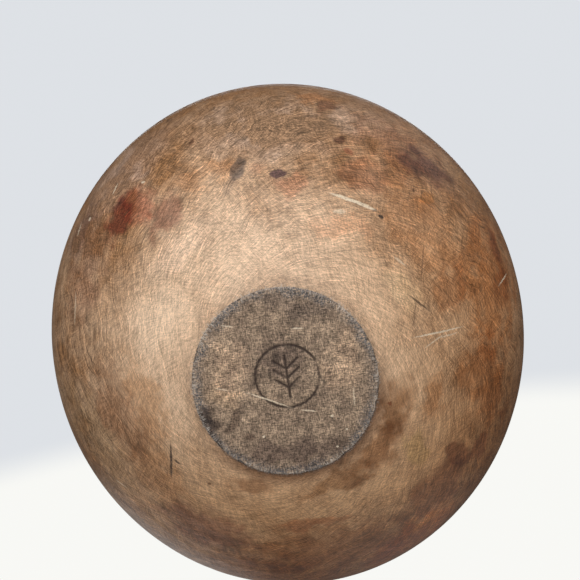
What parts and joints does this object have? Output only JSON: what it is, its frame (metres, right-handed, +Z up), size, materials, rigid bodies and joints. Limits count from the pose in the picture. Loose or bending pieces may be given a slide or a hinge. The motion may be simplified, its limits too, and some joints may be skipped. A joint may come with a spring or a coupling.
{
  "type": "turned wooden bowl",
  "caption": "Broad, shallow wooden kitchen bowl turned from one block, slightly oval from drying, with a rounded rim and a flat foot.",
  "frame": {"origin": "centre of the foot's flat underside, which is also the middle of the bounding box's bottom face", "axes": "+Z up out of the bowl's mouth, with the foot down; +Y along the wood's grain, the longer axis of the oval rim; +X across the grain"},
  "size_m": [0.3085, 0.33, 0.105],
  "materials": {
    "old_maple": "worn, hand-polished patina with no gloss coat"
  },
  "bodies": {
    "root": {"turned_bowl": "old_maple"}
  },
  "joints": []
}
